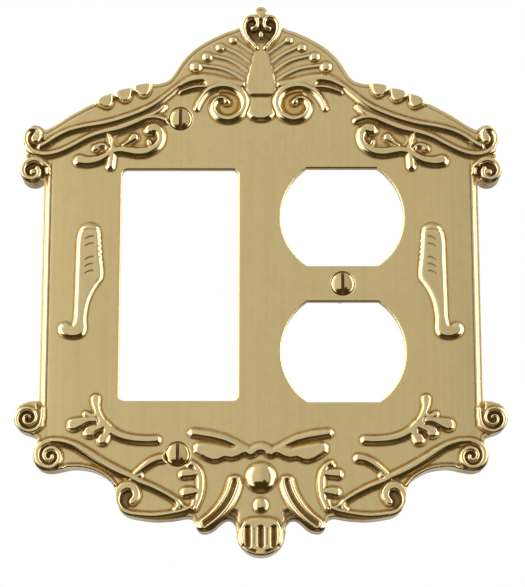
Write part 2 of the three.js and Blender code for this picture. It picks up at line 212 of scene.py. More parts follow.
def ridge(points, widths=(0.5,), height=RELIEF, run=None, lean=LEAN):
    """A raised band along a centre line; widths are half widths, spread evenly over its length."""
    line, w = spline(points, widths)
    place, px, pz = window(line, w.max() + 2)
    d, t = to_segments(px, pz, line)
    outside = d - (w[:-1] * (1 - t) + w[1:] * t)
    nearest = outside.argmin(-1)[..., None]
    above = pz - np.take_along_axis(line[:-1, 1] + t * np.diff(line[:, 1]), nearest, -1)[..., 0]
    away = np.take_along_axis(d, nearest, -1)[..., 0]
    outside = np.take_along_axis(outside, nearest, -1)[..., 0]
    shorter = 1 - STEEPER * np.clip(above / np.maximum(away, 0.01), 0, 1)
    rise = flank(outside, (run or SPREAD * height) * shorter, height)
    keep_highest(raised, place, rise - lean * above)


def pad(points, height=RELIEF, run=1.25, curved=True, slope=0.0, pivot=0.0, facet=FAR):
    """A raised flat area inside a closed outline; slope tilts its top, in height per mm of z.

    Beyond x = facet the top falls away sideways.
    """
    loop = outline(points, curved)
    place, px, pz = window(loop, 2)
    top = height + slope * (pz - pivot)
    top = np.maximum(top - FACET_SLOPE * np.maximum(px - facet, 0), FACET_LOWEST)
    keep_highest(raised, place, flank(outside_loop(px, pz, loop), run, top))


def outline(points, curved):
    """A closed outline through the points, straight between them or curved."""
    if not curved:
        return np.array(points, float)
    line = spline([*points[-1:], *points, *points[:2]])[0]
    start = np.hypot(*(line - points[0]).T).argmin()
    end = len(line) - 1 - np.hypot(*(line[::-1] - points[0]).T).argmin()
    return line[start:end]


def button(x, z, radius, height, tall=1.0, turn=0.0, lean=0.0):
    """A cap of a sphere; tall stretches it along its own up, which turn tilts, and lean sinks its top."""
    reach = radius * max(1, tall)
    place, px, pz = window(np.array([(x, z)]), reach + 1)
    c, s = math.cos(math.radians(turn)), math.sin(math.radians(turn))
    dx, dz = px - x, pz - z
    u = np.hypot((dx * c + dz * s) / radius, (dz * c - dx * s) / (radius * tall))
    ball = (radius ** 2 + height ** 2) / (2 * height)
    dome = np.sqrt(np.maximum(ball ** 2 - (u * radius) ** 2, 0)) - ball + height - lean * dz
    keep_highest(raised, place, np.where(u < 1, dome, -6 * (u - 1) * radius))


def floor(points, depth=0.5, run=0.5, gold=0.0, dark=0.0):
    """A recessed area inside a closed outline; gold gives it a gold tint of painted shade, and dark darkens
    it with patina.
    """
    loop = outline(points, True)
    place, px, pz = window(loop, 1)
    share = filled(outside_loop(px, pz, loop), run)
    keep_highest(sunk, place, depth * share)
    keep_highest(floor_shade, place, gold * share)
    keep_highest(stain, place, dark * share)


def groove(points, widths=(0.3,), depth=0.5, run=0.4, dark=0.0):
    """A channel cut into whatever it crosses."""
    line, w = spline(points, widths)
    place, px, pz = window(line, w.max() + 1)
    d, t = to_segments(px, pz, line)
    share = filled((d - (w[:-1] * (1 - t) + w[1:] * t)).min(-1), run)
    keep_highest(cut, place, depth * share)
    keep_highest(stain, place, dark * share)


def well(x, z, radius, depth=0.5):
    """Round dark bed under a scroll."""
    floor(arc(x, z, radius, 0, 330, 11), depth, dark=0.85)


def crest():
    """Heart of two C-scrolls under the finial, and the ball-headed stems that fan out below it."""
    ridge([(1.35, 69.8), (2.2, 70.9), (3.6, 72.4), (4.6, 74.1), (5, 75.9), (4.8, 77.7), (3.8, 78.9),
           (2.3, 79.2), (1.2, 78.4), (0.95, 77.2), (1.3, 76.3), (2.1, 75.75)],
          (0.5, 0.55, 0.6, 0.6, 0.55, 0.45), 1, 0.85)
    button(2.3, 75.65, 0.95, 0.8, 0.9)
    button(0, 73.8, 0.85, 0.8, 1.45)
    button(0, 80.3, 1.85, 0.5, 0.9, 0, 0.3)
    floor([(0, 78.2), (2.4, 78.6), (3.9, 77.6), (4.2, 75.9), (3.9, 74.3), (2.6, 72.4), (0, 71), (-0.6, 74)],
          0.6, 0.4, dark=0.9)
    stems = [([(2.2, 68.2), (4.5, 69.9), (6.9, 71.6)], (8, 72.3), 1.25),
             ([(3.1, 65.3), (6.2, 67.7), (10.2, 69.8)], (11.7, 70.1), 1.4),
             ([(3.8, 62.6), (6.8, 64.9), (9.8, 66.4), (13.8, 67.4)], (15.4, 67.3), 1.6),
             ([(4.4, 59.8), (7.6, 61.9), (11.5, 63.6), (17, 64.5)], (18.7, 64.3), 1.85)]
    for line, (x, z), radius in stems:
        ridge(line, (0.42, 0.4), 0.36, 0.62, 0.1)
        ridge([line[-1], (x, z)], (0.3, radius * 0.55), 0.5, 0.6)
        button(x, z, radius, radius * 0.55, 1, 0, 0.32)


def centre_panel():
    """Obelisk panel over the keystone."""
    pad(both_sides([(1.3, 71.3), (1.9, 69.2), (2.9, 65.4), (3.7, 61.8), (4.5, 58), (3.9, 56), (2.9, 55.1)]),
        0.2, 1, curved=False, slope=-0.04, pivot=70)
    groove([(1.6, 70.6), (2.5, 67), (3.5, 62.6), (4.5, 58.4)], (0.14,), 0.16, 0.6, dark=0.75)
    pad(both_sides([(3.2, 55.6), (3.1, 53.4), (3.5, 51.4), (3.9, 50.1), (2.7, 48.7), (1, 48)]), 1, 1.3,
        curved=False, slope=-0.16, pivot=50.2)
    groove([(-2.5, 55.2), (2.5, 55.2)], (0.3,), 0.45, 0.5, dark=0.7)


def shoulder():
    """The volute beside the keystone with its leaves, and the two long ridges to the corner scroll."""
    ridge([(18.4, 51.6), (17.5, 53.8), (16, 56), (13.9, 57.6), (11.2, 58.4), (8.2, 58), (5.8, 56.5),
           (4.7, 54.4), (4.7, 52.1), (5.8, 50), (7.7, 48.7), (9.8, 48.3), (12.2, 49.1), (13.6, 51.1),
           (13.6, 53), (12.4, 54.3), (10.8, 54.5), (9.7, 53.6)],
          (0.4, 0.55, 0.75, 0.95, 1, 1, 0.95, 0.9, 0.85, 0.8, 0.65, 0.55, 0.5), 1.15)
    button(9.7, 53.7, 0.8, 0.8)
    # gold tints the volute's bed with painted shade.
    floor([(10, 57), (6.4, 55.2), (5.6, 52.4), (7.4, 49.9), (10.6, 49.7), (12.8, 52), (12.6, 55.6)], 0.5,
          gold=1)
    pad([(5.2, 57.6), (4.9, 59.2), (9, 60), (13, 61.1), (17.2, 61.6), (20.8, 60.7), (24.4, 57.8),
         (23.4, 57.5), (19.8, 59.1), (16.4, 59.4), (15.4, 57.6), (11, 58.6)], 1.05, 1.35)
    ridge([(15.4, 57.9), (17.6, 57.9), (20, 57.5), (23, 56.4)], (0.5, 0.55, 0.35), 1, 1.1)
    ridge([(16.5, 60.9), (20.3, 60.2), (23.3, 58.4), (26.3, 55.9), (29.5, 53.3),
           (33, 51.2), (37, 49.5), (41, 48.1), (45.5, 46.9), (50.5, 46), (55, 44.8), (58.5, 43.1),
           (61, 41.4), (63, 40.3)], (0.4, 0.5, 0.6, 0.75, 0.8, 0.8, 0.8, 0.75, 0.7, 0.7, 0.75), 1.05, 1.3)
    ridge([(27.8, 52), (29.2, 50.6), (31.4, 49.4), (34.2, 48.1), (37.5, 46.7), (41, 45.4), (45, 44.4),
           (49, 43), (53, 40.8), (57, 38.9), (60.5, 38), (63.5, 38.1), (65.9, 39.4), (67.3, 41.6),
           (67.2, 44), (65.9, 45.4), (64.3, 45.3), (63.5, 44.3)],
          (0.6, 0.75, 0.9, 0.95, 0.85, 0.8, 0.75, 0.75, 0.8, 0.8, 0.75, 0.6, 0.5), 1.05, 1.2)
    ridge([(34.2, 48.2), (31, 48.8), (28.8, 48.5), (27.3, 47.9)], (0.8, 0.65, 0.7), 1, 1.1)
    ridge([(64.1, 43.3), (64.5, 42.6)], (1.2, 1.25), 0.95, 0.9)
    well(64.9, 42.3, 2.7)


def shoulder_branch():
    """Curling branch below the shoulder ridges."""
    ridge([(31.6, 45.3), (30.5, 45.6), (29.2, 44.9), (28.7, 43.4), (28.9, 41.6), (30.1, 40), (32.2, 38.8),
           (34.8, 38.4), (37.4, 38.7), (40, 39), (42, 38.7)], (1.35, 1.1, 0.95, 1, 1.15, 1.15, 1, 0.95), 1.1)
    ridge([(42.5, 39.2), (42.7, 36.6), (42.9, 34.4)], (0.95, 0.95, 0.9), 1.1)
    ridge([(42.8, 38.4), (44.8, 36.9), (47, 36), (49.5, 35.7), (51.7, 36.1)], (0.85, 1, 1.15, 1.4), 1.1)
    ridge([(45.2, 44.2), (43.8, 43.6), (43, 42.4), (42.9, 41), (41.8, 39.6)], (0.4, 0.4, 0.45), 0.85, 0.8)
    ridge([(43.8, 39.6), (44.5, 40.4), (45.8, 40.5), (47.2, 39.7)], (0.5, 0.55, 0.65, 0.9), 0.9, 0.9)
    ridge([(36.2, 42.9), (37.6, 41.6), (39.2, 40.4)], (1, 0.6, 0.5), 0.95, 0.95)
    button(31.9, 41.3, 0.8, 0.75, 1.5, -25)
    # gold tints this floor with painted shade.
    floor([(33, 46.5), (37.5, 44.5), (41.4, 43), (41, 41), (37, 40.4), (31.5, 40.6), (29.8, 42),
           (30.2, 44.8)], 0.25, gold=0.35)
    groove([(30.4, 43.7), (30, 42.3), (30.9, 40.9)], (0.4, 0.5, 0.2), 0.2, 0.5, dark=0.8)
    groove([(44.7, 42), (43.9, 40.6), (42.9, 39.6)], (0.15,), 0.3, 0.5, dark=0.9)
    groove([(46.9, 38.1), (45.2, 38.2)], (0.3,), 0.1, 0.4, dark=0.8)


def edge_pads():
    """Three overlapping pads on the sloping top edge."""
    shield = [(-2.9, 1.1), (-1.6, 2.5), (1.2, 2.9), (2.6, 2.3), (2.5, 0.3), (1.6, -1.1), (0.5, -1.5),
              (-1.1, -0.5)]
    for x, z, turn in ((34.4, 56.4, 0), (39.7, 54.8, -4), (44.9, 52.9, -10)):
        c, s = math.cos(math.radians(turn)), math.sin(math.radians(turn))
        pad([(x - dx * c - dz * s, z + dz * c - dx * s) for dx, dz in shield], 1.2, 0.9, slope=-0.1, pivot=z,
            facet=x + 1.5)


def rail():
    """Side rail that falls away to the edge, its scribed line, and the scrolls that end it."""
    place, px, pz = window(np.array([(RAIL_BREAK, RAIL_BOTTOM), (RAIL_EDGE, RAIL_TOP)]), 0.5)
    fall = np.clip((px - RAIL_BREAK) / (RAIL_FOOT - RAIL_BREAK), 0, 1)
    fall *= np.clip((pz - RAIL_START) / RAIL_EASE, 0, 1)
    keep_highest(cut, place, RAIL_FALL * fall)
    groove([(RAIL_LINE, 35), (RAIL_LINE, -40.5)], (0.15,), 0.25, 0.4, dark=0.5)
    ridge(scroll(65, 33, 4, 1.5, 185, -215), (0.75, 0.75, 0.7, 0.65, 0.6), 0.9, 0.6)
    button(65, 32.7, 1.2, 0.8)
    well(65, 33, 3.4)
    ridge([(60.7, -35.5), (60.7, -38), (61.2, -40.2)], (0.5, 0.6), 0.9, 0.7)
    ridge(scroll(64.6, -38.2, 4, 0.5, 205, 860, 40), (0.65, 0.6, 0.52, 0.46, 0.4, 0.35), 0.9, 0.6)
    well(64.9, -38.2, 2.8, 0.35)


def feather():
    """Tapering feather on the field beside the openings."""
    pad([(46, 15.1), (46.8, 16.5), (48.4, 17.1), (50, 16.5), (51, 15), (51.5, 12.5), (51.6, 8), (51.7, 2),
         (51.8, -5), (52, -10.3), (52.8, -12.2), (53.8, -12), (54.9, -11.6), (56.1, -12.3), (56.3, -13.5),
         (55.4, -14.7), (53.6, -15.4), (51.6, -15.4), (50, -14.7), (49.3, -13), (49.4, -9.6), (48.8, -5.6),
         (47.7, -2.6), (46.3, -0.2), (45.1, 1.5), (44.9, 3.4), (45.2, 6), (45.5, 8), (45.7, 11)], 0.95, 1.25)
    for i, z in enumerate((14, 12.4, 10.8, 9.2, 7.6, 6)):
        button(46.1 - 0.13 * i, z, 0.85, 0.6)
    for z in (13.4, 11.3, 7.4, 5.4, 3.4):
        groove([(47.2, z + 0.2), (48.4, z), (49.5, z - 0.6)], (0.12, 0.12, 0.08), 0.3, 0.4, dark=0.5)
    groove([(46, 15.4), (48.5, 15.7), (51.2, 15.2)], (0.1,), 0.25, 0.4)


def lower_branch():
    """Lobed branch above the lower scrolls."""
    ridge([(45.9, -32.9), (45.9, -34.2), (45.4, -36.4), (44.2, -38.8), (42.4, -41)],
          (1.2, 0.85, 0.8, 0.9, 1.1), 0.95, 0.65)
    ridge([(43.6, -39.8), (41.6, -41.7), (38.9, -43.2), (35.5, -44.1), (31.5, -44.4), (28.9, -44.3)],
          (1.1, 1.05, 1, 0.95), 1)
    ridge([(45.2, -37.6), (47, -37.7), (48.5, -37.2)], (0.5, 0.55, 0.8), 0.9, 0.7)
    ridge([(46.2, -38.9), (49, -39.3), (51.9, -40.1)], (0.9, 1.15, 1.6), 1, 1.1)
    ridge([(44.3, -40.3), (46, -41.2), (47.4, -42.1)], (1.2, 1.3, 1.55), 1, 1.1)
    ridge([(42.4, -42.2), (43.2, -43.3), (43.8, -44.3)], (1.2, 1.3, 1.4), 1, 1.1)
    for gap in ([(49.6, -41.1), (48.4, -40.2), (47, -39.8), (45.6, -40.1)],
                [(46.2, -43.5), (45.7, -42.6), (44.7, -42.2), (43.8, -42.4)]):
        groove(gap, (0.25, 0.4, 0.35), 0.4, 0.7, dark=0.9)


def lower_scrolls():
    """The large lower scroll, the loop and small volute below it, and the rim between them."""
    ridge([(34.6, -55.1), (37, -54.1), (40, -52.7), (44, -50.5), (48, -47.9), (51.5, -45.9), (55, -44.8),
           (58, -44.6)], (0.9, 1.05, 1, 0.85, 0.75), 1.1)
    ridge(scroll(58.3, -48.8, 4.2, 0.6, 95, -540, 40), (0.8, 0.75, 0.7, 0.65, 0.6, 0.55), 0.95, 0.65)
    well(58.3, -48.8, 3.3, 0.3)
    ridge([(40.4, -56.8), (41.9, -55), (44.2, -53.4), (47.2, -52.2), (50.5, -51.7), (53.8, -51.8)],
          (0.4, 0.5, 0.5), 0.7)
    ridge([(35.6, -55.1), (33, -56.2), (30, -57.4), (27, -58.9), (24.4, -60.4), (22.9, -61.5), (22.4, -62.6),
           (23.4, -63.7)], (0.8, 0.8, 0.75, 0.7, 0.65, 0.6), 1.05)
    ridge([(19.4, -63.3), (21.5, -64.1), (25, -64.8), (29, -65.3), (32.6, -65.2), (35.6, -64.8)],
          (0.55, 0.65, 0.7, 0.7), 1)
    ridge([(35.4, -64.9), (37.8, -64), (39.3, -62.3), (39.6, -60.2), (38.9, -58.3), (37.2, -57.1),
           (35.5, -57.4), (34.4, -58.7), (34.4, -60.2), (35.3, -61.5)],
          (0.7, 0.7, 0.75, 0.85, 1, 1.1, 1.1, 1.05, 0.95), 1, 0.8)
    well(37.1, -60.8, 2.5, 0.3)
    ridge([(22.7, -61.2), (21.7, -62.6), (20.1, -63.3), (18.8, -62.7), (18.3, -61.2)], (0.5,), 0.9)
    ridge([(27, -49.4), (29, -49.8), (31.5, -51.2), (34.8, -54)], (1, 0.9, 0.7), 1.05)
    ridge([(33.2, -54.2), (35, -55)], (0.5, 0.7))


def bottom_loops():
    """Toothed crescent and the slotted loop on each side of the shell."""
    ridge([(19.3, -50.7), (17.8, -51.9), (16.9, -54.1), (16.6, -57.1), (17, -60.2), (18.1, -63.4)],
          (0.6, 0.9, 0.95, 0.85, 0.6), 1, 0.9)
    ridge([(18.2, -51.5), (19.8, -51.4)], (0.5,), 0.9)
    ridge([(17.4, -53.8), (19.8, -53.7), (21.2, -53.8)], (0.7, 1.1, 1.2))
    ridge([(17.2, -58.7), (19.4, -58.7), (20.6, -58.9)], (0.7, 1.1, 1.25))
    path = [(7.2, -56.1), (8.2, -59.2), (10, -62.4), (12.5, -65.3), (15.5, -67.7)]
    ridge(path, (1.75, 1.75, 1.6), 1.1)
    groove(path, (0.65, 0.65, 0.55), 0.75, 0.8, dark=0.6)
    floor([(6.2, -64.4), (8.2, -63.9), (10.8, -66.4), (9.4, -67.6), (7, -69.2), (6.4, -66.6)], 0.5, 1.2,
          dark=0.75)


def wing():
    """Spread wing across the lower field."""
    pad(both_sides([
        (0, -45.5), (1.5, -45.8), (3.1, -46.7), (5, -45.8), (7.5, -44.4), (10, -43.2), (14, -42.1),
        (17.5, -41.7), (19.2, -41.7), (19.8, -42.4), (19.2, -43.3), (16, -43.8), (13, -44.3), (10, -45.1),
        (8.4, -45.8), (7.2, -46.4), (8.4, -46.8), (10, -46.4), (13, -45.8), (16, -45.4), (17.4, -45.5),
        (18.2, -46.3), (18.1, -47.6), (16.7, -48.8), (15, -49.8), (13.3, -50.4), (11.9, -50.3), (10, -49.5),
        (8, -49.8), (6.3, -49.3), (5, -48.6), (4.2, -48.4), (3, -49.1), (1.9, -48.8), (0.8, -47.9),
        (0, -47.7)]), 1, 1.2, curved=False)


def shell():
    """Fluted shell that closes the bottom, and the buttons above it."""
    button(0, -54.8, 4.4, 2.05)
    button(0, -62.5, 2.2, 1)
    pad(both_sides([(0, -66), (2.5, -66.2), (4.5, -66.9), (5.4, -68.4), (5.65, -70), (5.45, -72),
                    (4.7, -73.9), (3.2, -75.6), (0, -76.5)]), 1, 0.95)
    for x in (0, 3.6):
        groove([(x, -69.2), (x, -73.4)], (0.85,), 0.7, 0.9, dark=1)
    for x in (1.8, 5.4):
        groove([(x, -69), (x, -73.2)], (0.12,), 0.3, 0.5, dark=0.4)
    groove([(4.9, -73.7), (3.6, -74.5), (2.2, -75.1), (1.4, -75.3)], (0.3,), 0.4, 0.5, dark=0.7)
    button(0, -74.2, 0.9, 1.2)


def mirror_max(values):
    return np.maximum(values, values[:, ::-1])


# ---- plate outline and openings

def plate_outline():
    crown = curve([(2.3, 79.9), (3.5, 79.5), (4.6, 78.6), (5.4, 77.3), (6.2, 76.2), (7.6, 75.4), (10, 74.6),
                   (14, 72.7), (18, 70.3), (21, 67.7), (23.2, 64.9), (25.1, 61.8), (26.8, 59.9), (29.5, 59),
                   (33.8, 58.7), (36.2, 58.1), (37.4, 57.3)])
    pads = (curve([(37.8, 57.4), (40.2, 56.9), (42.4, 55.8)])
            + curve([(42.9, 55.7), (45.3, 54.9), (47.9, 53.1)]))
    shoulder_end = [(50, 52.1), (55, 49.3), (59, 46.7), (61.5, 45.3)] + arc(64.8, 43.2, 3.5, 140, -45, 16)
    side = [(67, 38.6)] + arc(65, 33.25, 3.65, 50, -135, 16) + [(RAIL_EDGE, 30), (RAIL_EDGE, -33.1)]
    rail_end = curve([(62.4, -33.4), (64.6, -33.6), (67.1, -34.6), (68.5, -36.7), (68.5, -39), (67.6, -40.9),
                      (65.8, -42.1), (63.8, -42.7), (61.9, -43.8)])
    lower = curve([(62.2, -45.4), (63, -48.4), (62.6, -50.8), (60.8, -52.5), (58.4, -53), (55.8, -52.6),
                   (52, -51.9), (47.5, -52.4), (44.2, -53.7), (41.6, -55.6), (40.2, -57.9), (39.95, -60.6),
                   (39.1, -63.2), (37, -65.1), (33.5, -66), (29, -66.5), (24, -66.2), (20.4, -65.6),
                   (18.7, -66)])
    foot = curve([(18, -67.6), (17.6, -68.8), (16.5, -69.7), (15, -69.8), (13, -69), (11.2, -67.4),
                  (9.6, -66.3), (8, -66.5), (6.9, -67.8)])
    return np.array(both_sides(arc(0, 80.6, 1.8, 90, -10, 8) + crown + pads + shoulder_end + side + rail_end
                               + lower + foot + arc(0, -69.6, 6.8, 5, -90, 14)))


def pocket_outline():
    return both_sides([
        (2.6, 75.2), (5.5, 73.8), (9, 72), (14, 69.4), (18.6, 65.8), (22.3, 61), (25.8, 57.6), (31, 56),
        (37.5, 54.6), (44, 52), (50, 48.9), (55.4, 45.4), (58.4, 42), (59.3, 37.5), (59.4, 31), (59.4, 20),
        (59.4, 0), (59.4, -20), (59.4, -31), (59.1, -38), (57.8, -43), (54.6, -46.6), (49.5, -49.2),
        (44, -51.4), (39.6, -54.6), (36.6, -59), (33, -62), (28, -63.2), (22, -63.4), (17, -64), (12, -63.4),
        (7.4, -64), (4.6, -66.8), (3, -70.6)])


def rocker_outside(px, pz):
    dx = np.abs(px + GANG) - ROCKER_HALF[0] + ROCKER_CORNER
    dz = np.abs(pz) - ROCKER_HALF[1] + ROCKER_CORNER
    return np.hypot(np.maximum(dx, 0), np.maximum(dz, 0)) + np.minimum(np.maximum(dx, dz), 0) - ROCKER_CORNER


def outlet_outside(px, pz, z):
    return np.maximum(np.hypot(px - GANG, pz - z) - OUTLET_RADIUS, np.abs(pz - z) - OUTLET_FLAT)


def openings_outside(px, pz):
    return np.minimum.reduce([rocker_outside(px, pz), outlet_outside(px, pz, OUTLET_Z),
                              outlet_outside(px, pz, -OUTLET_Z)])


def holes_outside(px, pz):
    return np.minimum.reduce([np.hypot(px - x, pz - z) for x, z in
                              ((-GANG, SCREW_Z), (-GANG, -SCREW_Z), (GANG, 0))]) - HOLE_RADIUS


def within_outline():
    """Distance inside the plate's outline at each grid point, exact near the edge."""
    loop = plate_outline()
    near = np.full(X.shape, FAR)
    inside = np.zeros(X.shape, bool)
    for a, b in zip(loop, np.roll(loop, -1, 0)):
        step = np.array([a, b])
        place, px, pz = window(step, 3)
        near[place] = np.minimum(near[place], to_segments(px, pz, step)[0][..., 0])
        rows = (zs >= min(a[1], b[1])) & (zs < max(a[1], b[1]))
        if rows.any():
            crossing = (b[0] - a[0]) * (zs[rows] - a[1]) / (b[1] - a[1]) + a[0]
            inside[rows] ^= xs[None, :] < crossing[:, None]
    return np.where(inside, near, -near)


def eased(distance, run, drop):
    """A quarter round of the given run and drop at an edge."""
    t = np.clip(distance / run, 0, 1)
    return drop * (1 - np.sqrt(1 - (1 - t) ** 2))


def soften(values, passes=1, centre=2):
    """Small blur that keeps centre parts of a cell's own value to one part of each neighbour's."""
    for _ in range(passes):
        for axis in (0, 1):
            total = np.roll(values, 1, axis) + centre * values + np.roll(values, -1, axis)
            values = total / (centre + 2)
    return values


def box_mean(values, cells):
    """Mean over a square that reaches this many cells each way."""
    n = 2 * cells + 1
    for _ in range(2):
        padded = np.pad(values, ((cells, cells), (0, 0)), mode="edge")
        sums = np.cumsum(np.insert(padded, 0, 0, 0), 0)
        values = ((sums[n:] - sums[:-n]) / n).T
    return values


for part in (crest, centre_panel, shoulder, shoulder_branch, edge_pads, rail, feather, lower_branch,
             lower_scrolls, bottom_loops, wing, shell):
    part()

INSIDE = within_outline()
OPEN = openings_outside(X, Z)
HOLE = holes_outside(X, Z)
SOLID = np.minimum.reduce([INSIDE, OPEN, HOLE])

sunk, cut, raised, floor_shade, stain = map(mirror_max, (sunk, cut, raised, floor_shade, stain))
beside_rail = (np.abs(X) > RAIL_LINE - 1) & (Z > RAIL_BOTTOM) & (Z < RAIL_TOP)
border = np.exp(-((INSIDE - BORDER) / BORDER_WIDTH) ** 2) * (raised < 0.1) * ~beside_rail
relief = np.maximum(np.maximum(raised, -sunk) - cut - BORDER_DEPTH * border, -DEEPEST)
dish = DISH * np.clip((np.abs(X) - DISH_START) / DISH_RUN, 0, 1) ** 2
front = soften(FIELD_FRONT + relief - dish, 1, 8)
front -= eased(INSIDE, EDGE_ROLL, EDGE_DROP)
front -= eased(OPEN, EASE, EASE)
SINK_FLOOR = FIELD_FRONT - (SINK_RADIUS - HOLE_RADIUS) / SINK_SLOPE
front = np.where(HOLE < SINK_RADIUS - HOLE_RADIUS + 0.5,
                 np.minimum(front, SINK_FLOOR + np.maximum(HOLE, 0) / SINK_SLOPE), front)

# ---- plate mesh

kinds = np.argmin([INSIDE, OPEN, HOLE], axis=0)
base = FIELD_FRONT + relief - dish
brim = np.choose(kinds, [base - EDGE_DROP, base - EASE, np.full(X.shape, SINK_FLOOR)])
# The masks that the brass reads, each with its value on the sides and back.
# Hollowness; the brass darkens with it, as patina and painted shade.
cavity = soften(box_mean(front, 3) - front, 1)
clear_of_edges = (INSIDE > 0.7) & (OPEN > 0.6)
bent = (box_mean(front, 1) - front) * clear_of_edges
bent_wide = (box_mean(front, 2) - front) * clear_of_edges
# Concave bends at the feet of ridges, browned in the brass as patina and painted shade.
crease = np.clip(np.maximum(bent / 0.06, bent_wide / 0.1), 0, 1)
# Convex bends on the crests. The brass is made paler there: a painted highlight.
crest_highlight = soften(np.clip(-bent / 0.05, 0, 1), 1)
below_ridges = np.clip(1.2 - raised / 0.4, 0, 1)
# Recessed floors below the ridges, where the brass takes a gold tint of painted shade.
recess = soften(floor_shade * below_ridges, 2)
patina = soften(stain * np.where(cut > 0.05, 1, below_ridges), 1)
MASKS = {"cavity": (cavity, 0.25), "crease": (crease, 0), "recess": (recess, 0), "patina": (patina, 0),
         "crest_highlight": (crest_highlight, 0), "relief": (soften(np.clip(relief / 0.5, 0, 1), 2), 0.5)}
slope_z, slope_x = np.gradient(front, CELL)
EDGE_SLOPE = np.gradient(soften(INSIDE, 2), CELL)


def flat_blocks(whole):
    """Blocks of whole cells that lie on one plane, largest first, as (row, column, cells)."""
    free = whole.copy()
    blocks = []
    for n in (16, 8, 4):
        share = np.arange(n + 1) / n
        view = np.lib.stride_tricks.sliding_window_view
        patch = view(front, (n + 1, n + 1))[::n, ::n]
        shade = view(cavity, (n + 1, n + 1))[::n, ::n]
        a, b = patch[..., :1, :1], patch[..., :1, -1:]
        c, d = patch[..., -1:, :1], patch[..., -1:, -1:]
        u, v = share[None, :], share[:, None]
        plane = (a * (1 - u) + b * u) * (1 - v) + (c * (1 - u) + d * u) * v
        even = np.abs(patch - plane).max((2, 3)) < 0.005
        even &= np.ptp(shade, axis=(2, 3)) < 0.03
        clear = view(free, (n, n))[::n, ::n].all((2, 3))
        for row, col in np.argwhere(even[:clear.shape[0], :clear.shape[1]] & clear):
            i, j = row * n, col * n
            free[i:i + n, j:j + n] = False
            blocks.append((i, j, n))
    return blocks, free


def front_surface():
    """Points (x, height, z, row, column), faces, and the directed edges of the front's boundary."""
    inside = SOLID > 0
    corners = (inside[:-1, :-1].astype(int) + inside[:-1, 1:] + inside[1:, :-1] + inside[1:, 1:])
    blocks, single = flat_blocks(corners == 4)
    used = np.zeros(X.shape, bool)
    part = single | ((corners > 0) & (corners < 4))
    for di in (0, 1):
        for dj in (0, 1):
            used[di:di + part.shape[0], dj:dj + part.shape[1]] |= part
    for i, j, n in blocks:
        used[i:i + n + 1:n, j:j + n + 1:n] = True
    used &= inside
    index = np.where(used, np.cumsum(used).reshape(X.shape) - 1, -1)
    rows, cols = np.nonzero(used)
    points = [np.stack([xs[cols], front[rows, cols], zs[rows], rows, cols], 1)]
    i, j = np.nonzero(single)
    faces = np.stack([index[i, j], index[i, j + 1], index[i + 1, j + 1], index[i + 1, j]], 1).tolist()
    for i, j, n in blocks:
        ring = ([(i, j + k) for k in range(n)] + [(i + k, j + n) for k in range(n)]
                + [(i + n, j + n - k) for k in range(n)] + [(i + n - k, j) for k in range(n)])
        faces.append([index[p] for p in ring if used[p]])

    crossings, edges, extra = {}, [], []

    def crossing(p, q):
        key = (min(p, q), max(p, q))
        if key not in crossings:
            (i0, j0), (i1, j1) = key
            s0, s1 = SOLID[i0, j0], SOLID[i1, j1]
            t = min(max(s0 / (s0 - s1), 0.04), 0.96)
            height = brim[i0, j0] * (1 - t) + brim[i1, j1] * t
            row, col = i0 + (i1 - i0) * t, j0 + (j1 - j0) * t
            extra.append((xs[0] + col * CELL, height, zs[0] + row * CELL, row, col))
            crossings[key] = len(rows) + len(extra) - 1
        return crossings[key]

    for i, j in np.argwhere((corners > 0) & (corners < 4)):
        ring = [(i, j), (i, j + 1), (i + 1, j + 1), (i + 1, j)]
        face, on_edge = [], []
        for p, q in zip(ring, ring[1:] + ring[:1]):
            if inside[p]:
                face.append(index[p])
                on_edge.append(False)
            if inside[p] != inside[q]:
                face.append(crossing(tuple(map(int, p)), tuple(map(int, q))))
                on_edge.append(True)
        faces.append(face)
        for k in range(len(face)):
            if on_edge[k] and on_edge[k - 1]:
                edges.append((face[k - 1], face[k]))
    return np.vstack(points + [np.array(extra)]), faces, edges


def chains(edges):
    """Closed loops of the directed edges."""
    follow = dict(edges)
    loops = []
    while follow:
        start = next(iter(follow))
        loop = [start]
        step = follow.pop(start)
        while step != start:
            loop.append(step)
            step = follow.pop(step)
        loops.append(loop)
    return loops


class Shell:
    """Vertices, faces and smoothing groups of a closed mesh that is built up in pieces, in mm."""

    def __init__(self, points):
        self.points = [tuple(p) for p in points]
        self.faces, self.groups = [], []

    def add_points(self, points):
        first = len(self.points)
        self.points.extend(tuple(map(float, p)) for p in points)
        return list(range(first, len(self.points)))

    def add_faces(self, faces, group):
        self.faces.extend(faces)
        self.groups.extend([group] * len(faces))

    def wall(self, top, bottom, group):
        """Quads from one loop to the next, facing out when the front's faces run along top."""
        n = len(top)
        self.add_faces([(top[(k + 1) % n], top[k], bottom[k], bottom[(k + 1) % n]) for k in range(n)], group)

    def cap(self, outer, inners, group):
        """Triangles between loops on a plane of constant y, facing the wall."""
        order, edges = [], []
        for loop in [outer] + inners:
            first = len(order)
            order.extend(loop)
            edges.extend((first + k, first + (k + 1) % len(loop)) for k in range(len(loop)))
        flat = [Vector((self.points[k][0], self.points[k][2])) for k in order]
        found, _, triangles, origin, _, _ = geometry.delaunay_2d_cdt(flat, edges, [], 0, 1e-7)
        where = [order[sources[0]] for sources in origin]
        middle = np.array([[sum(found[k][axis] for k in t) / 3 for t in triangles] for axis in (0, 1)])
        keep = np.ones(len(triangles), bool)
        for loop in [outer] + inners:
            inside = within(*middle, np.array([(self.points[k][0], self.points[k][2]) for k in loop]))
            keep &= inside if loop is outer else ~inside
        self.add_faces([[where[k] for k in t[::-1]] for t, good in zip(triangles, keep) if good], group)


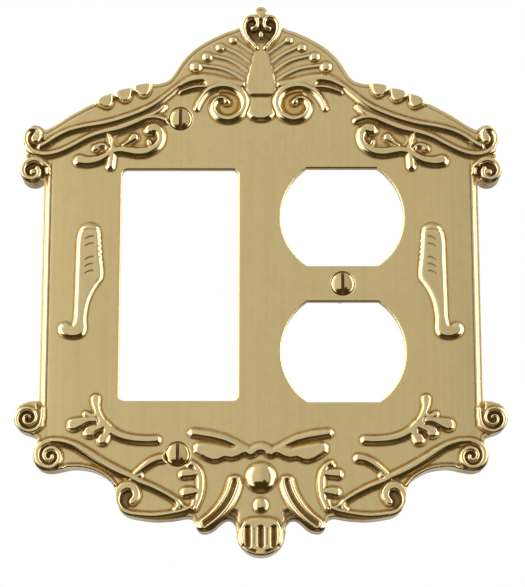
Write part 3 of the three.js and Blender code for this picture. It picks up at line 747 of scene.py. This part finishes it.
def outset(loop, distance):
    """A clockwise loop of (x, z) points moved outwards."""
    along = np.roll(loop, -1, 0) - np.roll(loop, 1, 0)
    normal = np.stack([-along[:, 1], along[:, 0]], 1)
    return loop + normal / np.maximum(np.hypot(*normal.T), 1e-9)[:, None] * distance


def inward(points):
    """Directions into the plate from points on its outline."""
    dz, dx = (pick(grid, points[:, 3], points[:, 4]) for grid in EDGE_SLOPE)
    return np.stack([dx, dz], 1) / np.maximum(np.hypot(dx, dz), 1e-9)[:, None]


FRONT, SIDE, RIM, POCKET, BACK, BORE, CHAMFER = range(7)
RIM_CHAMFER = 0.3
POCKET_FILLET = ((0.0, 0.25), (0.25, 0.0), (4.6, 0.0), (5.1, -0.13), (5.47, -0.5), (WEB_BACK, -1.0))


def at_height(plan, y):
    return [(x, -y, z) for x, z in plan]


def build_plate():
    points, faces, edges = front_surface()
    body = Shell([(x, -h, z) for x, h, z in points[:, :3]])
    body.add_faces(faces, FRONT)
    loops = sorted(chains(edges), key=len)
    rim, bores = loops[-1], loops[:-1]
    plan = points[rim][:, [0, 2]]
    side = body.add_points(at_height(plan, RIM_CHAMFER))
    back = body.add_points(at_height(plan + inward(points[rim]) * RIM_CHAMFER, 0))
    body.wall(rim, side, SIDE)
    body.wall(side, back, CHAMFER)
    hollow = outline(pocket_outline(), True)
    rings = [body.add_points(at_height(outset(hollow, step), y)) for y, step in POCKET_FILLET]
    body.cap(back, [rings[0]], RIM)
    for low, high in zip(rings, rings[1:]):
        body.wall(high, low, POCKET)
    floors = []
    for loop in bores:
        floors.append(body.add_points(at_height(points[loop][:, [0, 2]], WEB_BACK)))
        body.wall(loop, floors[-1], BORE)
    body.cap(rings[-1], floors, BACK)
    return body, points


def read(items, name, kind, width=1):
    values = np.zeros(len(items) * width, kind)
    items.foreach_get(name, values)
    return values


def smoothed_normals(mesh, groups, points):
    """Corner normals: the relief's own slope on the front, and one smooth run within each other group."""
    vertex = read(mesh.loops, "vertex_index", int)
    totals = read(mesh.polygons, "loop_total", int)
    normal = read(mesh.polygons, "normal", float, 3).reshape(-1, 3)
    weighted = np.repeat(normal * read(mesh.polygons, "area", float)[:, None], totals, 0)
    group = np.repeat(np.array(groups), totals)
    keys, place = np.unique(group * len(mesh.vertices) + vertex, return_inverse=True)
    sums = np.zeros((len(keys), 3))
    np.add.at(sums, place, weighted)
    corner = sums[place]
    row, col = points[:, 3], points[:, 4]
    exact = np.stack([-pick(slope_x, row, col), -np.ones(len(points)), -pick(slope_z, row, col)], 1)
    top = group == FRONT
    corner[top] = exact[vertex[top]]
    return corner / np.maximum(np.linalg.norm(corner, axis=1), 1e-12)[:, None]


def pick(grid, row, col):
    """Bilinear values of a grid at fractional rows and columns."""
    i = np.clip(row.astype(int), 0, grid.shape[0] - 2)
    j = np.clip(col.astype(int), 0, grid.shape[1] - 2)
    v, u = row - i, col - j
    low = grid[i, j] * (1 - u) + grid[i, j + 1] * u
    high = grid[i + 1, j] * (1 - u) + grid[i + 1, j + 1] * u
    return low * (1 - v) + high * v


def add_object(name, data):
    made = bpy.data.objects.new(name, data)
    bpy.context.scene.collection.objects.link(made)
    return made


def make_plate():
    body, points = build_plate()
    mesh = bpy.data.meshes.new("plate_casting")
    mesh.from_pydata([(x * MM, (y + WALL_PLANE) * MM, z * MM) for x, y, z in body.points], [], body.faces)
    mesh.update()
    mesh.shade_smooth()
    mesh.normals_split_custom_set(smoothed_normals(mesh, body.groups, points).tolist())
    for name, (grid, elsewhere) in MASKS.items():
        values = np.full(len(mesh.vertices), elsewhere, np.float32)
        values[:len(points)] = pick(grid, points[:, 3], points[:, 4])
        mesh.attributes.new(name, "FLOAT", "POINT").data.foreach_set("value", values)
    return add_object("plate_casting", mesh)


# ---- screws

THREAD_PITCH = 0.794
THREAD_DEPTH = 0.43
THREAD_START = 2.3     # plain neck below the head
THREAD_FADE = 0.8
TIP_FADE = 0.7
TIP_TAPER = 0.5
SHANK_RADIUS = 1.75
HEAD_RADIUS = 3.15
HEAD_OVAL = 0.95
HEAD_LAND = 0.1
NECK_RADIUS = 1.55
SCREW_LENGTH = 19.05
SLOT_WIDTH = 0.9
SLOT_DEPTH = 0.9
SCREW_SIDES = 48


def to_mesh(name, work):
    data = bpy.data.meshes.new(name)
    work.to_mesh(data)
    work.free()
    return data


def head_profile():
    """Radius and height above the seat of the head, from its crown to its neck."""
    crown = (HEAD_RADIUS ** 2 + HEAD_OVAL ** 2) / (2 * HEAD_OVAL)
    sweep = math.asin(HEAD_RADIUS / crown)
    dome = [(crown * math.sin(a), crown * math.cos(a) - crown + HEAD_OVAL)
            for a in np.linspace(0, sweep * 0.985, 12)[1:]]
    return dome + [(HEAD_RADIUS, -0.02), (HEAD_RADIUS, -HEAD_LAND),
                   (NECK_RADIUS, -HEAD_LAND - (HEAD_RADIUS - NECK_RADIUS) / SINK_SLOPE)]


def thread_radius(height, turn):
    """Rounded vee thread, fading out under the head and at the tip."""
    phase = (height / THREAD_PITCH + turn) % 1.0
    tooth = min(1.0, max(0.0, 1.25 - 2.9 * abs(phase - 0.5)))
    under_head = min(1.0, max(0.0, (-height - THREAD_START) / THREAD_FADE))
    tip = min(1.0, max(0.0, (SCREW_LENGTH + height) / TIP_FADE))
    return SHANK_RADIUS - THREAD_DEPTH * (1 - tooth) * under_head - TIP_TAPER * (1 - tip)


def make_screw(name, node, centre):
    """Oval head machine screw with a cut slot, its axis along Y and its head's edge at the centre."""
    n = SCREW_SIDES
    angles = np.linspace(0, 2 * math.pi, n, endpoint=False)
    rings = [[point] * n for point in head_profile()]
    start = rings[-1][0][1] - 0.15
    for height in np.arange(start, -SCREW_LENGTH, -THREAD_PITCH / 8):
        rings.append([(thread_radius(height, a / (2 * math.pi)), height) for a in angles])
    rings.append([(SHANK_RADIUS - 0.55, -SCREW_LENGTH)] * n)
    mesh = bmesh.new()
    x0, y0, z0 = centre
    pole = mesh.verts.new((x0 * MM, (y0 - HEAD_OVAL) * MM, z0 * MM))
    grid = [[mesh.verts.new(((x0 + r * math.cos(a)) * MM, (y0 - h) * MM, (z0 + r * math.sin(a)) * MM))
             for (r, h), a in zip(ring, angles)] for ring in rings]
    for k in range(n):
        mesh.faces.new((pole, grid[0][k], grid[0][(k + 1) % n]))
    for upper, lower in zip(grid, grid[1:]):
        for k in range(n):
            mesh.faces.new((upper[k], lower[k], lower[(k + 1) % n], upper[(k + 1) % n]))
    mesh.faces.new(grid[-1][::-1])
    screw = add_object(name, to_mesh(name, mesh))
    cut_slot(screw, centre)
    screw.data.shade_smooth()
    screw.data.set_sharp_from_angle(angle=math.radians(32))
    screw.data.materials.clear()
    for material in (screw_brass, slot_shade_and_patina):
        screw.data.materials.append(material)
    for face in screw.data.polygons:
        across = abs(face.center.x / MM - x0)
        ahead = y0 - face.center.y / MM
        face.material_index = int(across < SLOT_WIDTH * 0.502 and ahead > HEAD_OVAL - SLOT_DEPTH - 0.01)
    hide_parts(node)
    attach(screw, node)


def cut_slot(screw, centre):
    """Cuts the driver slot across the head, upright at rest."""
    x0, y0, z0 = centre
    low = HEAD_OVAL - SLOT_DEPTH
    cutter_mesh = bmesh.new()
    bmesh.ops.create_cube(cutter_mesh, size=1)
    for v in cutter_mesh.verts:
        v.co = ((x0 + v.co.x * SLOT_WIDTH) * MM, (y0 - low - 1 + v.co.y * 2) * MM,
                (z0 + v.co.z * 3 * HEAD_RADIUS) * MM)
    cutter = add_object("slot_cutter", to_mesh("slot_cutter", cutter_mesh))
    modifier = screw.modifiers.new("slot", "BOOLEAN")
    modifier.operation = "DIFFERENCE"
    modifier.solver = "EXACT"
    modifier.object = cutter
    depsgraph = bpy.context.evaluated_depsgraph_get()
    result = bpy.data.meshes.new_from_object(screw.evaluated_get(depsgraph))
    screw.modifiers.clear()
    screw.data = result
    bpy.data.objects.remove(cutter)


# ---- materials


class Nodes:
    """Short calls for building a node tree."""

    def __init__(self, tree):
        self.tree = tree
        tree.nodes.clear()

    def node(self, kind, inputs=None, **settings):
        made = self.tree.nodes.new("ShaderNode" + kind)
        for key, value in settings.items():
            setattr(made, key, value)
        for key, value in (inputs or {}).items():
            socket = made.inputs[key]
            if isinstance(value, bpy.types.NodeSocket):
                self.tree.links.new(value, socket)
            else:
                socket.default_value = value
        return made

    def math(self, operation, a, b=0.0, clamp=False):
        return self.node("Math", {0: a, 1: b}, operation=operation, use_clamp=clamp).outputs[0]

    def times(self, a, b):
        return self.math("MULTIPLY", a, b)

    def larger(self, a, b):
        return self.math("MAXIMUM", a, b)

    def mix(self, share, a, b):
        return self.node("Mix", {0: share, 6: a, 7: b}, data_type="RGBA").outputs[2]

    def blend(self, share, a, b):
        return self.node("Mix", {0: share, 2: a, 3: b}, data_type="FLOAT").outputs[0]

    def span(self, value, low, high, to_low=0.0, to_high=1.0):
        made = self.node("MapRange", {0: value, 1: low, 2: high, 3: to_low, 4: to_high})
        made.interpolation_type = "SMOOTHSTEP"
        return made.outputs[0]

    def attribute(self, name):
        return self.node("Attribute", attribute_name=name).outputs["Fac"]

    def noise(self, vector, scale, detail=2.0, stretch=(1, 1, 1)):
        scaled = self.node("VectorMath", {0: vector, 1: stretch}, operation="MULTIPLY").outputs[0]
        noise = {"Vector": scaled, "Scale": scale, "Detail": detail}
        return self.node("TexNoise", noise).outputs["Fac"]


def new_material(name):
    """A material and the builder of its nodes."""
    material = bpy.data.materials.new(name)
    material.use_nodes = True
    return material, Nodes(material.node_tree)


BRASS = (0.86, 0.665, 0.305, 1)
PALE_BRASS = (0.94, 0.745, 0.36, 1)
STREAK = (0.79, 0.60, 0.27, 1)
DUST = (0.72, 0.54, 0.24, 1)
FLOOR_SHADE_GOLD = (0.80, 0.53, 0.15, 1)       # painted shade: deeper gold in the recessed floors
HIGHLIGHT_CREAM = (0.99, 0.86, 0.55, 1)     # painted highlight: cream on the crests of the relief
BROWN = (0.34, 0.16, 0.028, 1)     # patina and painted shade at the feet of the relief and in its hollows
DARK = (0.15, 0.078, 0.022, 1)     # darker patina in the wells and gaps, and painted shade in deep hollows
POLISHED = 0.13                    # roughness of the relief, the field and the patina
SATIN = 0.3
DULL = 0.42


def brass_material(name, worked):
    """Satin cast brass. Worked brass reads the relief's masks for patina and painted shade in its hollows, a
    gold tint of painted shade in recessed floors, a painted highlight on its crests, brushing and polish.
    """
    material, n = new_material(name)
    place = n.node("TexCoord").outputs["Object"]
    cloudy = n.noise(place, 45, 3)
    mottled = n.noise(place, 420, 3)
    fine = n.noise(place, 2600, 2)
    brushed = n.noise(place, 1.0, 3, (5200, 300, 190))
    streaks = n.noise(place, 1.0, 2, (900, 60, 22))
    speckle = n.times(n.math("SUBTRACT", mottled, 0.5), 0.3)
    if worked:
        hollow = n.math("ADD", n.attribute("cavity"), n.times(speckle, 0.4))
        foot = n.attribute("crease")
        floor_mask = n.attribute("recess")
        gaps = n.attribute("patina")
        highlight_share = n.attribute("crest_highlight")
        lifted = n.attribute("relief")
        field = n.math("SUBTRACT", 1.0, lifted, True)
        # Patina and painted shade: brown in the hollows and at the feet of ridges, darker in deep hollows.
        patina_and_shade = n.span(hollow, 0.06, 0.38, 0.0, 0.7)
        patina_and_shade = n.larger(patina_and_shade, n.times(foot, n.span(mottled, 0.15, 0.6, 0.6, 0.95)))
        deep_patina_and_shade = n.span(hollow, 0.3, 0.6, 0.0, 0.85)
        deep_patina_and_shade = n.larger(deep_patina_and_shade, n.times(gaps, n.span(mottled, 0.1, 0.6, 0.75, 1.0)))
        # Painted shade: gold tint in the recessed floors.
        floor_shading = n.times(floor_mask, n.span(mottled, 0.2, 0.75, 0.5, 0.9))
    else:
        field = floor_shading = highlight_share = deep_patina_and_shade = 0.0
        patina_and_shade = n.span(mottled, 0.62, 0.9, 0.0, 0.3)
    warm = n.mix(cloudy, BRASS, PALE_BRASS)
    toned = n.mix(n.times(n.span(streaks, 0.35, 0.75), 0.35), warm, STREAK)
    dusty = n.mix(n.span(mottled, 0.45, 0.75, 0.0, 0.22), toned, DUST)
    with_floor_shade = n.mix(floor_shading, dusty, FLOOR_SHADE_GOLD)
    # Painted highlight: cream on the crests.
    highlighted = n.mix(n.times(highlight_share, 0.8), with_floor_shade, HIGHLIGHT_CREAM)
    browned = n.mix(patina_and_shade, highlighted, BROWN)
    colour = n.mix(deep_patina_and_shade, browned, DARK)
    rough = n.blend(field, POLISHED, SATIN)
    rough = n.math("ADD", rough, n.times(n.math("SUBTRACT", cloudy, 0.5), 0.06))
    rough = n.blend(n.larger(patina_and_shade, deep_patina_and_shade), rough, DULL)
    metal = n.blend(deep_patina_and_shade, n.blend(patina_and_shade, 1.0, 0.75), 0.85)
    lines = n.times(brushed, n.blend(field, 0.1, 1.0))
    surface = n.math("ADD", lines, n.times(fine, 0.3))
    bump = n.node("Bump", {"Height": surface, "Strength": 0.35, "Distance": 0.00004})
    shader = n.node("BsdfPrincipled", {"Base Color": colour, "Metallic": metal, "Roughness": rough,
                                       "Normal": bump.outputs[0]})
    n.node("OutputMaterial", {"Surface": shader.outputs[0]})
    return material


def slot_shade_material(name):
    """Dark brown patina and painted shade in the driver slots."""
    material, n = new_material(name)
    cloud = n.noise(n.node("TexCoord").outputs["Object"], 900, 3)
    colour = n.mix(cloud, (0.09, 0.045, 0.015, 1), (0.30, 0.18, 0.06, 1))
    shader = n.node("BsdfPrincipled", {"Base Color": colour, "Metallic": 0.5, "Roughness": 0.5})
    n.node("OutputMaterial", {"Surface": shader.outputs[0]})
    return material


# ---- studio

CAMERA_AT = (0.00045, WALL_PLANE * MM - 0.57503, -0.12919)
CAMERA_PITCH = 12.55
LENS = 126.8

ROOM_TONE = 0.58       # grey of the room in front of the plate and over it
PANEL_GLOW = 2.6       # white panels at both sides
LEFT_PANEL = 55        # degrees round from the plate's front to where the left panel starts
RIGHT_PANEL = 59
PANEL_WIDTH = 110
PANEL_TOP = (50, 57)   # elevations between which a panel fades out
STRIP = 11             # degrees taken up by the edge in front of each panel
LEFT_STRIP = 0.95      # a pale edge on the left and a dark one on the right
RIGHT_STRIP = 0.3
WALL_GLOW = 0.5        # surroundings behind the plate
FLOOR_TONE = 0.05
NADIR_TONE = 0.2       # warm light that comes back from the table far below
NADIR = -68
HORIZON = -20          # elevation where the dark floor begins
DARK_SPOT = 0.35       # how far to the right a dark thing stands low in front of the plate


def degrees(n, angle):
    return n.times(angle, 180 / math.pi)


def between(n, value, low, high, edge):
    """1 from low to high, with soft edges."""
    return n.times(n.span(value, low - edge, low + edge), n.span(value, high - edge, high + edge, 1.0, 0.0))


def studio_world():
    """White backdrop for the camera; for the metal, a grey room with white side panels and a dark floor."""
    world = bpy.data.worlds.new("studio")
    bpy.context.scene.world = world
    world.use_nodes = True
    n = Nodes(world.node_tree)
    toward = n.node("TexCoord").outputs["Generated"]
    x, y, z = n.node("SeparateXYZ", {0: toward}).outputs[:3]
    aside = n.math("ABSOLUTE", x)
    around = degrees(n, n.math("ARCTAN2", aside, n.times(y, -1.0)))
    lift = degrees(n, n.math("ARCSINE", z))
    right = n.span(x, -0.02, 0.02)
    start = n.blend(right, LEFT_PANEL, RIGHT_PANEL)
    past = n.math("SUBTRACT", around, start)
    slant = n.math("ADD", n.math("SUBTRACT", z, y), n.times(aside, 0.25))
    high = n.times(n.span(slant, -0.05, 0.05), n.span(lift, *PANEL_TOP, 1.0, 0.0))
    panel = n.times(between(n, past, 0, PANEL_WIDTH, 2), high)
    strip = n.times(between(n, past, -STRIP, 0, 2), high)
    behind = n.times(n.span(y, 0.3, 0.5), n.span(z, -0.62, -0.42))
    offset = n.math("ABSOLUTE", n.math("SUBTRACT", x, DARK_SPOT))
    spot = n.times(n.span(offset, 0.1, 0.16, 1.0, 0.0), n.span(lift, -13, -8, 1.0, 0.0))
    spot = n.times(spot, n.span(y, -0.6, -0.4, 1.0, 0.0))
    ground = n.larger(n.span(lift, HORIZON - 3, HORIZON + 3, 1.0, 0.0), spot)
    level = n.span(x, -0.3, 0.3, 1.15 * ROOM_TONE, 0.87 * ROOM_TONE)
    level = n.blend(ground, level, n.span(lift, NADIR - 9, NADIR + 9, NADIR_TONE, FLOOR_TONE))
    level = n.blend(behind, level, WALL_GLOW)
    level = n.blend(strip, level, n.blend(right, LEFT_STRIP, RIGHT_STRIP))
    level = n.blend(panel, level, PANEL_GLOW)
    tint = n.mix(ground, (1, 1, 1, 1), (1.0, 0.74, 0.34, 1))
    tint = n.mix(n.larger(n.larger(panel, strip), behind), tint, (1, 1, 1, 1))
    lights = n.node("Background", {"Color": tint, "Strength": level}).outputs[0]
    paper = n.node("Background", {"Color": (1, 1, 1, 1), "Strength": 1.0}).outputs[0]
    seen = n.node("LightPath").outputs["Is Camera Ray"]
    both = n.node("MixShader", {0: seen, 1: lights, 2: paper}).outputs[0]
    n.node("OutputWorld", {0: both})


def make_floor(height):
    """Pale floor that fades into the backdrop; its underside is clear, for a camera below it."""
    mesh = bmesh.new()
    bmesh.ops.create_circle(mesh, cap_ends=True, segments=64, radius=3)
    floor_object = add_object("studio_floor", to_mesh("studio_floor", mesh))
    floor_object.location.z = height
    material, n = new_material("pale_floor")
    place = n.node("TexCoord").outputs["Object"]
    away = n.node("VectorMath", {0: place}, operation="LENGTH").outputs["Value"]
    matt = n.node("BsdfDiffuse", {"Color": (0.82, 0.81, 0.79, 1)}).outputs[0]
    glow = n.node("Emission", {"Color": (1, 1, 1, 1)}).outputs[0]
    blended = n.node("MixShader", {0: n.span(away, 0.25, 1.6), 1: matt, 2: glow}).outputs[0]
    under = n.node("NewGeometry").outputs["Backfacing"]
    clear = n.node("BsdfTransparent").outputs[0]
    both = n.node("MixShader", {0: under, 1: blended, 2: clear}).outputs[0]
    n.node("OutputMaterial", {0: both})
    floor_object.data.materials.append(material)
    floor_object.visible_glossy = False
    floor_object.visible_diffuse = False


def make_camera():
    camera = add_object("camera", bpy.data.cameras.new("camera"))
    camera.data.lens = LENS
    camera.location = CAMERA_AT
    camera.rotation_euler = (math.radians(90 + CAMERA_PITCH), 0, 0)
    bpy.context.scene.camera = camera


# ---- assembly

plate = make_plate()
plate.data.materials.append(brass_material("cast_brass", True))
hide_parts("wall_plate")
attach(plate, "plate")

screw_brass = brass_material("screw_brass", False)
# The slots are painted dark: patina and painted shade.
slot_shade_and_patina = slot_shade_material("slot_shade_patina")
for body_name, x, z in (("rocker_screw_upper", -GANG, SCREW_Z),
                        ("rocker_screw_lower", -GANG, -SCREW_Z),
                        ("receptacle_screw", GANG, 0)):
    make_screw(body_name + "_turned", body_name, (x, WALL_PLANE - FIELD_FRONT, z))

studio_world()
make_floor(CAD_BOX[0][2] - 0.0002)
make_camera()
bpy.context.scene.view_settings.view_transform = "Standard"
